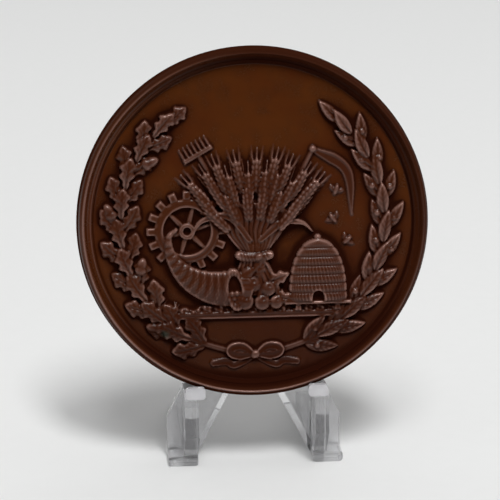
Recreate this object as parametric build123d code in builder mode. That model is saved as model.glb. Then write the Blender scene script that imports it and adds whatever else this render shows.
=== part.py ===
"""Commemorative medal: a struck bronze disc leaning on a clear moulded display stand.

Row frame: +Z up, front towards -Y, +X to the viewer's right, origin on the
surface under the middle of the whole thing. Millimetres.
"""
import os
from math import atan2, cos, degrees, radians, sin, sqrt, tan

from build123d import *

# Medal blank
medal_diameter = 76.5
rim_thickness = 8.0
rim_width = 3.75
ridge_inset = 1.6          # fine ridge on the rim, in from the outer edge
edge_round = 1.0           # width of the rounded shoulder at the outer edge
edge_bulge = 0.7           # the edge is barrel-shaped, widest halfway through
edge_drop = 0.3            # the band outside the ridge falls this far to the shoulder
front_recess = 2.6
back_recess = 1.8
step_width = 0.7           # flat step between the rim's cove and the field
step_height = 0.9

# Relief on the front: heights over the field
trophy_height = 1.9        # sheaf, horn, hive and fruit
leaf_height = 1.0
wheel_height = 1.0
tool_height = 0.7
ground_height = 0.9
ribbon_height = 0.8
root_depth = 0.4           # how far each motif is rooted in the metal
draft = 15.0               # slope of the motifs' sides, degrees from upright
stem_width = 0.9
mouth_width = 1.2          # rolled edge at the horn's mouth

# Relief repeats
leaf_stations = 9          # pairs of leaves along each branch
wheel_teeth = 16
wheel_spokes = 6
hive_coils = 6

# Clear stand
lean_deg = 7.5             # how far the medal and the back plate lean back
plate_thickness = 3.0
back_height = 46.0         # top of the back plate, up its slope
back_width = 10.0          # its post above the legs
leg_opening = 25.6         # between the legs at the floor
leg_spread = 38.5          # over the legs' shoulders
shoulder_height = 9.3
leg_slope_deg = 27.8       # the legs' edges, from upright
leg_bevel = 1.4            # along the legs' inner edges, in front
rib_thickness = 2.95
rib_spacing = 28.5         # between the middles of the two ribs
ledge_height = 17.0        # seat for the medal's edge, up the slope
brow_height = 7.0          # where the rib's front edge turns back to the toe
brow_setback = 0.4         # rib's front edge behind the lip's face
lip_width = 4.2
lip_spacing = 26.7         # the lips stand a little inward of the ribs
lip_height = 2.6
lip_rise = 1.0             # lip's top over the ledge
lip_depth = 1.7
pad_width = 6.5
pad_height = 2.4
toe_reach = 5.0            # toe in front of the plate's face at the floor
rail_reach = 33.0          # heel behind the plate's face at the floor
rail_height = 2.6          # at the heel
rail_root = 13.0           # where the rail's top meets the plate
mould_round = 0.8          # rounded corners of lips, pads and the plate's outline

# Seat clearances between medal and stand
back_gap = 0.15
ledge_gap = 0.15
lip_gap = 0.25

lean = radians(lean_deg)
medal_radius = medal_diameter / 2
field_radius = medal_radius - rim_width
front_field = rim_thickness / 2 - front_recess
back_field = -rim_thickness / 2 + back_recess

# The seat slopes with the plate. Its own two measures are "out" from the plate's
# front face and "up" along the slope from the floor line.
seat_depth = back_gap + rim_thickness + lip_gap
lip_front = seat_depth + lip_depth
lip_bottom = ledge_height + lip_rise - lip_height
front_overhang = lip_front * cos(lean) - lip_bottom * sin(lean)
floor_line = (front_overhang - rail_reach) / 2      # centres the whole depth on the origin


def seat_point(out, up):
    """Y and Z of a point given by its distance out from the plate and up its slope."""
    y = floor_line + up * sin(lean) - out * cos(lean)
    z = up * cos(lean) + out * sin(lean)
    return (y, z)


contact_x = (rib_spacing - rib_thickness) / 2       # where the round edge meets the ledges
medal_up = ledge_height + ledge_gap + sqrt(medal_radius**2 - contact_x**2)
medal_y, medal_z = seat_point(back_gap + rim_thickness / 2, medal_up)

# Middle plane of the medal: x to the right, y up its face, normal out of the front
middle = Plane(origin=(0, medal_y, medal_z), x_dir=(1, 0, 0), z_dir=(0, -cos(lean), sin(lean)))
field = middle.offset(front_field)
root = field.offset(-root_depth)
section = Plane(middle.location * Plane.XZ.location)    # radius, and height over the middle


def blank():
    """Disc with a barrel edge and a rim on both sides: shoulder, ridge, cove, step, field."""
    top = rim_thickness / 2
    shoulder = medal_radius - edge_round
    ridge = medal_radius - ridge_inset
    cove_foot = field_radius + step_width
    step_edge = field_radius + step_width / 3
    front_step = front_field + step_height
    back_step = back_field - step_height
    band_foot = top - edge_drop / 2
    wall_top = top - edge_drop - edge_round / 2
    wall_end = medal_radius - edge_bulge
    with BuildPart() as disc:
        with BuildSketch(section):
            with BuildLine():
                Polyline((0, back_field), (0, front_field), (field_radius, front_field))
                Polyline((field_radius, front_field), (step_edge, front_step), (cove_foot, front_step))
                RadiusArc((cove_foot, front_step), (ridge, top), -2 * ridge_inset)
                Polyline((ridge, top), (shoulder, band_foot), (wall_end, wall_top))
                ThreePointArc((wall_end, wall_top), (medal_radius, 0), (wall_end, -wall_top))
                Polyline((wall_end, -wall_top), (shoulder, -band_foot), (ridge, -top))
                RadiusArc((ridge, -top), (cove_foot, back_step), -2 * ridge_inset)
                Polyline((cove_foot, back_step), (step_edge, back_step), (field_radius, back_field))
                Line((field_radius, back_field), (0, back_field))
            make_face()
        revolve(axis=Axis(middle.origin, middle.z_dir))
    return disc.part


# Where the motifs stand: every place and plan size below is a share of the field's radius
branch_reach = 0.83                  # stem's radius
branch_start, branch_end = -9, 138   # degrees from the bottom, up each side
leaves_start = 22
leaf_slant = 36                      # leaves open this far from the stem, degrees
laurel_leaf = {"length": 0.215, "width": 0.085, "stalk": 0.015}
oak_leaf = {"length": 0.21, "width": 0.095, "stalk": 0.02}
laurel_edge = [(0.3, 0.95), (0.6, 0.85)]                       # along, and half width
oak_edge = [(0.32, 1.0), (0.5, 0.6), (0.7, 0.95)]

band_place = -0.2                    # the sheaf's band over the middle
sheaf_skirt = [(0.19, -0.55), (0.075, band_place), (0.28, 0.1), (0.13, 0.19)]
ear_size = {"length": 0.19, "width": 0.06, "fan": 43}
ear_tiers = [(0.42, 9, 0.8), (0.27, 6, 0.95)]                  # reach over the band, ears, height
hive = {"x": 0.4, "base": -0.55, "top": -0.1, "width": 0.38}
wheel = {"x": -0.42, "y": -0.04, "radius": 0.22, "tooth": 0.045, "bore": 0.15, "hub": 0.055}
horn_path = [(-0.12, -0.42, 0.115), (-0.29, -0.40, 0.09), (-0.44, -0.31, 0.065), (-0.53, -0.17, 0.035)]
fruits = [(-0.06, -0.49, 0.05), (0.04, -0.5, 0.042), (-0.02, -0.385, 0.046), (0.07, -0.42, 0.036)]
ground = {"y": -0.575, "width": 1.3, "depth": 0.05}
rake = {"foot": (-0.09, -0.2), "head": (-0.33, 0.4), "bar": 0.2, "tine": 0.08, "tines": 6}
scythe = {"foot": (0.09, -0.2), "head": (0.36, 0.42), "tip": (0.62, 0.02), "bulge": 0.11}
tool_width = 0.026
bow = {"y": -0.86, "loop": (0.085, 0.04), "offset": 0.1, "tail": (0.27, -0.1), "width": 0.035}


def on_field(share_x, share_y):
    """A place on the field from its shares of the field's radius."""
    return (share_x * field_radius, share_y * field_radius)


def on_branch(side, turn_deg):
    """Place on a branch, side -1 left or 1 right, and the direction it grows there."""
    turn = radians(turn_deg)
    place = on_field(side * branch_reach * sin(turn), -branch_reach * cos(turn))
    return place, degrees(atan2(sin(turn), side * cos(turn)))


def branch(side, size, edge):
    """Curved stem with a pair of leaves at each station and one at its end."""
    length = size["length"] * field_radius
    half_width = size["width"] * field_radius / 2
    near = [(along * length, -half * half_width) for along, half in edge]
    far = [(x, -y) for x, y in reversed(near)]
    outline = [(0, 0)] + near + [(length, 0)] + far
    stalk = size["stalk"] * field_radius
    pitch = (branch_end - leaves_start) / leaf_stations
    with BuildPart() as twig:
        with BuildSketch(root):
            for station in range(leaf_stations):
                place, growth = on_branch(side, leaves_start + station * pitch)
                for slant in (-leaf_slant, leaf_slant):
                    with Locations(Location(place, growth + slant)):
                        with Locations((stalk, 0)):
                            Polygon(*outline, align=None)
            place, growth = on_branch(side, branch_end)
            with Locations(Location(place, growth)):
                Polygon(*outline, align=None)
        extrude(amount=root_depth + leaf_height, taper=draft)
        with BuildSketch(root):
            with BuildLine():
                middle_turn = (branch_start + branch_end) / 2
                ThreePointArc(*[on_branch(side, turn)[0] for turn in (branch_start, middle_turn, branch_end)])
            trace(line_width=stem_width)
        extrude(amount=root_depth + leaf_height / 2)
    return twig.part


def sheaf():
    """Waisted bundle of stalks with a band round it and two tiers of ears in a fan."""
    half = [on_field(*point) for point in sheaf_skirt]
    length = ear_size["length"] * field_radius
    half_width = ear_size["width"] * field_radius / 2
    outline = [(0, 0), (length * 0.3, -half_width), (length * 0.75, -half_width)]
    outline += [(length, 0), (length * 0.75, half_width), (length * 0.3, half_width)]
    band = on_field(0, band_place)
    with BuildPart() as bundle:
        with BuildSketch(root):
            Polygon(*half, *[(-x, y) for x, y in reversed(half)], align=None)
        extrude(amount=root_depth + trophy_height * 0.75, taper=draft)
        for reach, count, height in ear_tiers:
            with BuildSketch(root):
                for number in range(count):
                    turn = 90 - ear_size["fan"] * (2 * number / (count - 1) - 1)
                    with Locations(Location(band, turn)):
                        with Locations((reach * field_radius, 0)):
                            Polygon(*outline, align=None)
            extrude(amount=root_depth + trophy_height * height, taper=draft)
        with BuildSketch(root):
            with Locations(band):
                Rectangle(0.2 * field_radius, 0.06 * field_radius)
        extrude(amount=root_depth + trophy_height, taper=draft)
    return bundle.part


def beehive():
    """Straw hive: rounded coils stacked on the ground, narrower towards the top."""
    coil_height = (hive["top"] - hive["base"]) * field_radius / hive_coils
    with BuildPart() as skep:
        for coil in range(hive_coils):
            share = sqrt(1 - ((coil + 0.5) / (hive_coils + 0.5)) ** 2)
            place = (hive["x"] * field_radius, hive["base"] * field_radius + (coil + 0.5) * coil_height)
            with BuildSketch(root):
                with Locations(place):
                    SlotOverall(hive["width"] * field_radius * share, coil_height)
            extrude(amount=root_depth + trophy_height * sqrt(share), taper=draft)
    return skep.part


def cog_wheel():
    """Toothed wheel with spokes and a hub, lying behind the sheaf."""
    radius = wheel["radius"] * field_radius
    tooth = wheel["tooth"] * field_radius
    bore = wheel["bore"] * field_radius
    hub = wheel["hub"] * field_radius
    with BuildPart() as cog:
        with BuildSketch(root):
            with Locations(on_field(wheel["x"], wheel["y"])):
                Circle(radius)
                with PolarLocations(radius, wheel_teeth):
                    Rectangle(2 * tooth, tooth)
                Circle(bore, mode=Mode.SUBTRACT)
                with PolarLocations(bore / 2, wheel_spokes):
                    Rectangle(1.2 * bore, tooth)
                Circle(hub)
        extrude(amount=root_depth + wheel_height)
    return cog.part


def horn():
    """Horn of plenty, curved and narrowing to its tail, and the fruit that falls from it."""
    near, far = [], []
    for number, (x, y, half) in enumerate(horn_path):
        before = horn_path[max(number - 1, 0)]
        after = horn_path[min(number + 1, len(horn_path) - 1)]
        run = Vector(after[0] - before[0], after[1] - before[1], 0).normalized()
        near.append(on_field(x - run.Y * half, y + run.X * half))
        far.append(on_field(x + run.Y * half, y - run.X * half))
    with BuildPart() as plenty:
        with BuildSketch(root):
            Polygon(*far, *reversed(near), align=None)
        extrude(amount=root_depth + trophy_height * 0.8, taper=draft)
        with BuildSketch(root):
            with BuildLine():
                Line(near[0], far[0])
            trace(line_width=mouth_width)
        extrude(amount=root_depth + trophy_height)
    with BuildPart() as crop:
        with BuildSketch(root):
            for x, y, radius in fruits:
                with Locations(on_field(x, y)):
                    Circle(radius * field_radius)
        extrude(amount=root_depth + trophy_height * 0.85, taper=draft)
    return [plenty.part, crop.part]


def tools():
    """Rake on the left and scythe on the right, crossed behind the sheaf."""
    width = tool_width * field_radius
    tine_pitch = rake["bar"] / (rake["tines"] - 1)
    head_x, head_y = rake["head"]
    with BuildPart() as crossed:
        with BuildSketch(root):
            for tool in (rake, scythe):
                with BuildLine():
                    Line(on_field(*tool["foot"]), on_field(*tool["head"]))
                trace(line_width=width)
            turn = degrees(atan2(head_y - rake["foot"][1], head_x - rake["foot"][0]))
            with Locations(Location(on_field(head_x, head_y), turn)):
                Rectangle(1.5 * width, rake["bar"] * field_radius)
                with GridLocations(0, tine_pitch * field_radius, 1, rake["tines"]):
                    Rectangle(rake["tine"] * field_radius, width / 2, align=(Align.MIN, Align.CENTER))
            heel, tip = on_field(*scythe["head"]), on_field(*scythe["tip"])
            with BuildLine():
                SagittaArc(heel, tip, -scythe["bulge"] * field_radius)
                SagittaArc(heel, tip, -scythe["bulge"] * field_radius / 2)
            make_face()
        extrude(amount=root_depth + tool_height)
    return crossed.part


def ground_and_bow():
    """The bar that the trophy stands on, and the ribbon bow where the stems cross."""
    knot = on_field(0, bow["y"])
    loop_long, loop_high = [share * field_radius for share in bow["loop"]]
    width = bow["width"] * field_radius
    tail_x, tail_y = [share * field_radius for share in bow["tail"]]
    with BuildPart() as base:
        with BuildSketch(root):
            with Locations(on_field(0, ground["y"])):
                Rectangle(ground["width"] * field_radius, ground["depth"] * field_radius)
        extrude(amount=root_depth + ground_height, taper=draft)
    with BuildPart() as ribbon:
        with BuildSketch(root):
            for side in (-1, 1):
                with Locations(Location(knot, 90 - side * 75)):
                    with Locations((bow["offset"] * field_radius, 0)):
                        Ellipse(loop_long, loop_high)
                        Ellipse(loop_long / 2, loop_high / 2, mode=Mode.SUBTRACT)
                with BuildLine():
                    end = (knot[0] + side * tail_x, knot[1] + tail_y * 0.2)
                    SagittaArc(knot, end, side * tail_y * 0.6)
                trace(line_width=width)
            with Locations(knot):
                Circle(width)
        extrude(amount=root_depth + ribbon_height)
    return [base.part, ribbon.part]


with BuildPart() as medal:
    add(blank())
    add(
        [
            branch(-1, oak_leaf, oak_edge),
            branch(1, laurel_leaf, laurel_edge),
            sheaf(),
            beehive(),
            cog_wheel(),
            *horn(),
            tools(),
            *ground_and_bow(),
        ]
    )
medal.part.label = "medal"

# Stand: the back plate's plane has x to the right and y up the slope
plate_face = Plane(origin=(0, floor_line, 0), x_dir=(1, 0, 0), z_dir=(0, -cos(lean), sin(lean)))
leg_rate = tan(radians(leg_slope_deg))
rib_out = lip_front - brow_setback
toe_y = floor_line - toe_reach
heel_y = floor_line + rail_reach
apex = leg_opening / 2 / leg_rate
post_height = shoulder_height + (leg_spread - back_width) / 2 / leg_rate
lip_round = min(mould_round, lip_height / 3)
pad_round = min(mould_round, pad_height / 3)


def is_inner(place):
    """Whether a place on the back plate's outline lies between the legs."""
    return abs(place.X) < leg_opening / 3 and 0 < place.Z < apex


with BuildPart() as stand:
    # Back plate: two legs that meet behind the medal, and a post above them
    with BuildSketch(plate_face) as plate_outline:
        sole = -plate_thickness
        right = [
            (leg_opening / 2 - sole * leg_rate, sole),
            (leg_spread / 2, sole),
            (leg_spread / 2, shoulder_height),
            (back_width / 2, post_height),
            (back_width / 2, back_height),
        ]
        Polygon((0, apex), *right, *[(-x, y) for x, y in reversed(right)], align=None)
        fillet(plate_outline.vertices().filter_by_position(Axis.Y, 0, back_height), mould_round)
    extrude(amount=-plate_thickness)
    # The inner edges that show between the legs are bevelled in front
    front_edges = stand.faces().sort_by(Axis(plate_face.origin, plate_face.z_dir))[-1].edges()
    chamfer([edge for edge in front_edges if is_inner(edge.center())], leg_bevel)
    for side in (-1, 1):
        # Rib: ledge under the medal's edge in front, low rail to the heel behind
        with BuildSketch(Plane.YZ.offset(side * rib_spacing / 2 - rib_thickness / 2)):
            Polygon(
                seat_point(rib_out, ledge_height),
                seat_point(rib_out, brow_height),
                (toe_y + brow_setback, pad_height),
                (toe_y + brow_setback, 0),
                (heel_y, 0),
                (heel_y, rail_height),
                seat_point(-plate_thickness, rail_root),
                seat_point(-plate_thickness / 2, ledge_height),
                align=None,
            )
        extrude(amount=rib_thickness)
        # Lip that keeps the medal's edge on the ledge
        with BuildSketch(plate_face.offset(lip_front)):
            with Locations((side * lip_spacing / 2, lip_bottom)):
                RectangleRounded(lip_width, lip_height, lip_round, align=(Align.CENTER, Align.MIN))
        extrude(amount=-lip_depth)
        # Foot pad, seen from the front
        with BuildSketch(Plane.XZ.offset(-toe_y)):
            with Locations((side * (leg_spread - pad_width) / 2, 0)):
                RectangleRounded(pad_width, pad_height, pad_round, align=(Align.CENTER, Align.MIN))
        extrude(amount=-toe_reach - plate_thickness / 2)
    split(bisect_by=Plane.XY, keep=Keep.TOP)
stand.part.label = "stand"

os.makedirs("parts", exist_ok=True)
export_step(medal.part, "parts/medal.step")
export_step(stand.part, "parts/stand.step")
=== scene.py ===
# %% [markdown]
# # A struck bronze medal on a clear stand
# The object is a large table medal, dark brown with age, leaning on a small clear
# moulded stand. The construction model gives every size and place. Here the medal
# gets its relief and patina, and the stand its polished plastic. The order is:
# frame and camera, a small kit for materials, the die with its motifs, the struck
# mesh, the finishes, and last the floor and the light.

# %% Load the fixed frame
import math
import bpy
import numpy as np
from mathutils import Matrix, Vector


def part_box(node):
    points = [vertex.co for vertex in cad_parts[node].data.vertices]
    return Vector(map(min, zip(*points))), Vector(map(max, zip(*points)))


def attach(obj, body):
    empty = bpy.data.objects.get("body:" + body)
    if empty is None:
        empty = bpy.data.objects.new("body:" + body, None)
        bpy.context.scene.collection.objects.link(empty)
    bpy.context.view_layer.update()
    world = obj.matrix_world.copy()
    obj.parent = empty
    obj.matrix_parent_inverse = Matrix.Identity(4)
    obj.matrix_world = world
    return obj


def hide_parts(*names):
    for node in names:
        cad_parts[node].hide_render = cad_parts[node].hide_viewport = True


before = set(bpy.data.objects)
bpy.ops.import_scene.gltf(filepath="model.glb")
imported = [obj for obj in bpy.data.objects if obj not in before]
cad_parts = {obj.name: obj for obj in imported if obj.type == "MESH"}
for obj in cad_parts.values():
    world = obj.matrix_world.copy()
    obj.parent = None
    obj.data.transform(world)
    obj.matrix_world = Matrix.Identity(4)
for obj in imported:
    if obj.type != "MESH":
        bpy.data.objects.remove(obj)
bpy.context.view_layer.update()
MM = 0.001

# %% [markdown]
# ## The medal's own frame
# A medal is designed flat, so its motifs are placed in millimetres to the right and
# up from its middle, with height over the field. One matrix then leans that flat
# design back into the stand. The middle and the diameter are read from the packed
# node, so the dressed medal always lies where the construction put it.

# %% Read the medal's place
LEAN = math.radians(7.5)
HALF_THICK = 4.0        # this and all sizes of the medal are in millimetres
RIM_WIDTH = 3.75
FRONT_DEPTH = 2.6
BACK_DEPTH = 1.8

low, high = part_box("medal")
MIDDLE = (Vector(low) + Vector(high)) / 2
RADIUS = (high[0] - low[0]) / 2 / MM
FIELD = RADIUS - RIM_WIDTH
FRONT_FIELD = HALF_THICK - FRONT_DEPTH
BACK_FIELD = BACK_DEPTH - HALF_THICK
face_right = Vector((1, 0, 0))
face_up = Vector((0, math.sin(LEAN), math.cos(LEAN)))
face_out = Vector((0, -math.cos(LEAN), math.sin(LEAN)))
FACE_AXES = np.array([face_right, face_up, face_out])


def to_row(points):
    """Points in the medal's millimetres, as metres in the shared frame."""
    return np.asarray(points) @ FACE_AXES * MM + np.array(MIDDLE)


def from_row(points):
    """Points in metres, as the medal's millimetres: right, up and out of the face."""
    return (points - np.array(MIDDLE)) @ FACE_AXES.T / MM


print("radius", round(RADIUS, 2), "mm, field", round(FIELD, 2), "mm, middle", MIDDLE)

# %% [markdown]
# ## The camera
# The photograph looks down at about 17 degrees from a little to the left. The medal
# leans back by a little under half of that, so its outline is an ellipse only one
# percent flatter than a circle. A long lens from 45 centimetres gives the mild
# perspective seen at the feet. Camera and lamps are both hung on a direction seen
# from the medal, so one helper serves them.

# %% Set up the camera
CAMERA_DISTANCE = 0.45
CAMERA_RISE = math.radians(16.8)
CAMERA_LEFT = math.radians(5.0)
FRAME_PIXELS = 500
PIXELS_PER_MM = 4.6
SENSOR = 36
AIM_BELOW_MIDDLE = 6.13 * MM
AIM_LEFT_OF_MIDDLE = 0.73 * MM


def direction(azimuth, rise):
    """Away from the medal. Azimuth 0 is straight in front, and plus is to the right."""
    level = math.cos(rise)
    return Vector((math.sin(azimuth) * level, -math.cos(azimuth) * level, math.sin(rise)))


def hang(thing, target, towards, distance):
    """Put a camera or a light at a distance from its target, looking back at it."""
    bpy.context.scene.collection.objects.link(thing)
    thing.location = target + towards * distance
    thing.rotation_euler = (-towards).to_track_quat("-Z", "Y").to_euler()


lens = bpy.data.cameras.new("camera")
camera = bpy.data.objects.new("camera", lens)
aim = MIDDLE - face_up * AIM_BELOW_MIDDLE - face_right * AIM_LEFT_OF_MIDDLE
hang(camera, aim, direction(-CAMERA_LEFT, CAMERA_RISE), CAMERA_DISTANCE)
bpy.context.scene.camera = camera
width_at_medal = FRAME_PIXELS / PIXELS_PER_MM * MM
lens.sensor_width = SENSOR
lens.lens = SENSOR * CAMERA_DISTANCE / width_at_medal
print("lens", round(lens.lens, 1), "mm")

# %% [markdown]
# ## A kit for materials
# Shader maths reads best as plain expressions. A small class wraps a socket, so that
# adding or multiplying two of them adds the Math node behind the scenes.

# %% Wrap sockets as numbers
class Wire:
    """A shader output that works in expressions like a number."""

    def __init__(self, finish, socket):
        self.finish = finish
        self.socket = socket

    def math(self, operation, first, second):
        return self.finish.make("ShaderNodeMath", {"operation": operation}, {0: first, 1: second}).out(0)

    def __add__(self, other):
        return self.math("ADD", self, other)

    def __mul__(self, other):
        return self.math("MULTIPLY", self, other)

    def __sub__(self, other):
        return self.math("SUBTRACT", self, other)

    def __rsub__(self, other):
        return self.math("SUBTRACT", other, self)

    __radd__ = __add__
    __rmul__ = __mul__

    def between(self, start, end):
        """0 below start, 1 above end, smooth in between."""
        settings = {"interpolation_type": "SMOOTHSTEP"}
        return self.finish.make("ShaderNodeMapRange", settings, {0: self, 1: start, 2: end}).out(0)


class Made:
    """A node, asked for its outputs by name or number."""

    def __init__(self, finish, node):
        self.finish = finish
        self.node = node

    def out(self, name):
        return Wire(self.finish, self.node.outputs[name])


print("sockets can be added, subtracted and multiplied")

# %% [markdown]
# Everything else comes from one method that takes a node's type, its settings and
# its inputs. A few short methods on top of it name what a finish is made of: noise,
# marks painted on the mesh, blends of two colours, bumps and shaders. The same class
# serves the materials and the surround, because a world is a node tree too.

# %% Collect nodes in a finish
class Finish:
    """A material or a world under construction: its nodes are made and joined here."""

    def __init__(self, owner):
        self.owner = owner
        owner.use_nodes = True
        self.tree = owner.node_tree
        self.tree.nodes.clear()

    def make(self, kind, settings=None, inputs=None):
        """Add a node. A colour is given as three numbers."""
        node = self.tree.nodes.new(kind)
        for key, value in (settings or {}).items():
            setattr(node, key, value)
        for key, value in (inputs or {}).items():
            socket = node.inputs[key]
            if isinstance(value, Wire):
                self.tree.links.new(value.socket, socket)
            elif socket.type == "RGBA":
                socket.default_value = (*value, 1)
            else:
                socket.default_value = value
        return Made(self, node)

    def place(self):
        return self.make("ShaderNodeTexCoord").out("Object")

    def noise(self, scale, detail, distortion=0.0):
        inputs = {"Vector": self.place(), "Scale": scale, "Detail": detail, "Distortion": distortion}
        return self.make("ShaderNodeTexNoise", {}, inputs).out("Fac")

    def mark(self, name):
        """A value painted on the mesh, one per vertex."""
        return self.make("ShaderNodeAttribute", {"attribute_name": name}).out("Fac")

    def blend(self, share, first, second):
        """A colour between two others. The node keeps its colours in sockets 6, 7 and 2."""
        return self.make("ShaderNodeMix", {"data_type": "RGBA"}, {0: share, 6: first, 7: second}).out(2)

    def bump(self, height, distance, strength):
        inputs = {"Height": height, "Distance": distance, "Strength": strength}
        return self.make("ShaderNodeBump", {}, inputs).out("Normal")

    def shader(self, **inputs):
        """One Principled shader. Names use _ for spaces."""
        named = {key.replace("_", " "): value for key, value in inputs.items()}
        return self.make("ShaderNodeBsdfPrincipled", {}, named).out(0)

    def cover(self, share, under, over):
        """One shader over a share of another."""
        return self.make("ShaderNodeMixShader", {}, {0: share, 1: under, 2: over}).out(0)

    def close(self, surface, output="ShaderNodeOutputMaterial"):
        self.make(output, {}, {0: surface})
        print("finish", self.owner.name, "with", len(self.tree.nodes), "nodes")
        return self.owner


def new_finish(name):
    return Finish(bpy.data.materials.new(name))


print("the kit makes noise, marks, blends, bumps and shaders")

# %% [markdown]
# ## Heights and paths
# Low relief is built from a few curves that come back in every motif: a dome for what
# swells, a stripe for a line, and a rising edge with a bevel for what is cut flat.

# %% Name the curves of low relief
def dome(across):
    """1 in the middle and 0 at both sides, where across is -1 and 1."""
    return np.sqrt(np.maximum(1 - across**2, 0))


def stripe(distance, width):
    """1 on a line, fading over its width."""
    return np.exp(-((distance / width) ** 2))


def rising(distance, bevel=0.22):
    """0 outside an edge, 1 inside, with a rounded bevel between."""
    share = np.clip(distance / bevel, 0, 1)
    return share * share * (3 - 2 * share)


def raise_to(view, heights, inside):
    """Keep the taller of what is there and what is new, inside the new form."""
    view[inside] = np.maximum(view, heights)[inside]


print("half way out, a dome is", round(float(dome(0.5)), 2), "high and a bevel", rising(0.5, 1))

# %% [markdown]
# Paths are given by a few places, joined by a smooth curve and evened out, so that a
# stem or a horn can be drawn with four or five points. Places are shares of the
# field's radius wherever a motif has to fit the field.

# %% Draw smooth paths
CURVE_PARTS = 40        # straight parts between two places, before the path is evened out
FINE_STEP = 0.08        # between the points of thin cords
EVEN_STEP = 0.12
BROAD_STEP = 0.15       # between the points of broad forms


def spread(value, count):
    """One value for all points, or a few stretched evenly over them."""
    value = np.atleast_1d(np.asarray(value, float))
    return np.interp(np.linspace(0, 1, count), np.linspace(0, 1, value.size), value)


def flow(points, step=EVEN_STEP):
    """A smooth path through a few places, in even steps."""
    points = np.asarray(points, float)
    ends = np.vstack([2 * points[0] - points[1], points, 2 * points[-1] - points[-2]])
    path = []
    for a, b, c, d in zip(ends, ends[1:], ends[2:], ends[3:]):
        for t in np.linspace(0, 1, CURVE_PARTS, endpoint=False):
            bend = (2 * a - 5 * b + 4 * c - d) * t**2
            turn = (3 * b - a - 3 * c + d) * t**3
            path.append(0.5 * (2 * b + (c - a) * t + bend + turn))
    path = np.vstack([path, points[-1:]])
    lengths = np.concatenate([[0], np.cumsum(np.hypot(*np.diff(path, axis=0).T))])
    even = np.linspace(0, lengths[-1], max(int(lengths[-1] / step), 2))
    return np.column_stack([np.interp(even, lengths, column) for column in path.T])


def on_field(x, y):
    """A place on the field from its shares of the field's radius."""
    return (x * FIELD, y * FIELD)


print("a smooth path of three places has", len(flow([(0, 0), (1, 2), (3, 2)])), "points")

# %% [markdown]
# ## The die
# A medal is struck from a steel die, and the die is cut in low relief. The same idea
# makes the relief here: a square raster holds the height over the field, and each
# motif is cut into it with a few formulas. Taller forms hide lower ones, as they do
# in metal. Later the raster shapes the mesh, and tells the patina where the dark
# hollows and the rubbed high points lie. Their lighter paint is partly a painted highlight.

# %% Start the die
SEED = 24
PITCH = 0.08            # between the points of the raster
DIE_MARGIN = 0.5
rng = np.random.default_rng(SEED)


class Die:
    """Heights in millimetres over the medal's field, on a square raster."""

    def __init__(self, reach):
        self.axis = np.arange(-reach, reach + PITCH, PITCH)
        self.x, self.y = np.meshgrid(self.axis, self.axis)
        self.height = np.zeros_like(self.x)

    def near(self, place, reach, turn=0.0):
        """Heights within reach of a place, and distances along and across a direction."""
        first = [max(0, int((centre - reach - self.axis[0]) / PITCH)) for centre in place]
        last = [int((centre + reach - self.axis[0]) / PITCH) + 2 for centre in place]
        part = (slice(first[1], last[1]), slice(first[0], last[0]))
        x = self.x[part] - place[0]
        y = self.y[part] - place[1]
        cos, sin = math.cos(turn), math.sin(turn)
        return self.height[part], x * cos + y * sin, y * cos - x * sin


die = Die(FIELD + DIE_MARGIN)
print("die of", die.height.shape, "points")

# %% [markdown]
# Three kinds of cut make nearly every motif: an egg-shaped swelling for grains and
# fruit, a cord along a path for stems and handles, and a thick form along a path for
# horn, blade and ribbon. The form finds how far along and across its path each point
# of the die lies, and a small function turns that into a height.

# %% Make the three cuts
def swelling(place, turn, long, wide, height, base):
    """An egg shape, from its half length and half width."""
    view, along, across = die.near(place, max(long, wide), turn)
    left = 1 - (along / long) ** 2 - (across / wide) ** 2
    raise_to(view, base + height * np.sqrt(np.maximum(left, 0)), left > 0)


def cord(points, widths, heights, bases):
    """A cord along a path: half width, height and base, each one value or a few."""
    columns = [spread(value, len(points)) for value in (widths, heights, bases)]
    for place, width, height, base in zip(points, *columns):
        swelling(place, 0, width, width, height, base)


def form(points, radii, shape):
    """A thick form along a path. shape(along 0 to 1, across -1 to 1) gives its height."""
    radii = spread(radii, len(points))
    corner = points.min(0) - radii.max()
    reach = (points.max(0) + radii.max() - corner) / 2
    place = corner + reach
    view, x, y = die.near(place, reach.max())
    best = np.full(view.shape, -1.0)
    along = np.zeros_like(best)
    across = np.zeros_like(best)
    runs = np.gradient(points, axis=0)
    for number, ((px, py), radius, (rx, ry)) in enumerate(zip(points - place, radii, runs)):
        dx, dy = x - px, y - py
        left = 1 - (dx * dx + dy * dy) / (radius * radius)
        better = left > best
        best[better] = left[better]
        along[better] = number / (len(points) - 1)
        side = (rx * dy - ry * dx) / (math.hypot(rx, ry) * radius)
        across[better] = side[better]
    raise_to(view, shape(along, np.clip(across, -1, 1)), best > 0)


def tell(motif):
    """Print how much of the raster is cut by now, and how high."""
    share_cut = round(100 * (die.height > 0).mean())
    print(f"after {motif}: {share_cut} % cut, up to {die.height.max():.2f} mm")


tell("nothing")

# %% [markdown]
# ## Two branches
# An oak branch on the left and a laurel branch on the right frame the design, as on
# countless prize medals. One leaf function serves both: a rib that bends a little, a
# margin given by a formula, two swelling halves with a crease between them, and fine
# side veins. Leaves lie over and under the stem and tilt to either side, so that the
# light finds a different edge on each.

# %% Cut a leaf
VEIN_PITCH = 1.25
VEIN_DEPTH = 0.03
CREASE_DEPTH = 0.42
CREASE_WIDTH = 0.22
LEAST_WIDTH = 0.001


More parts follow.
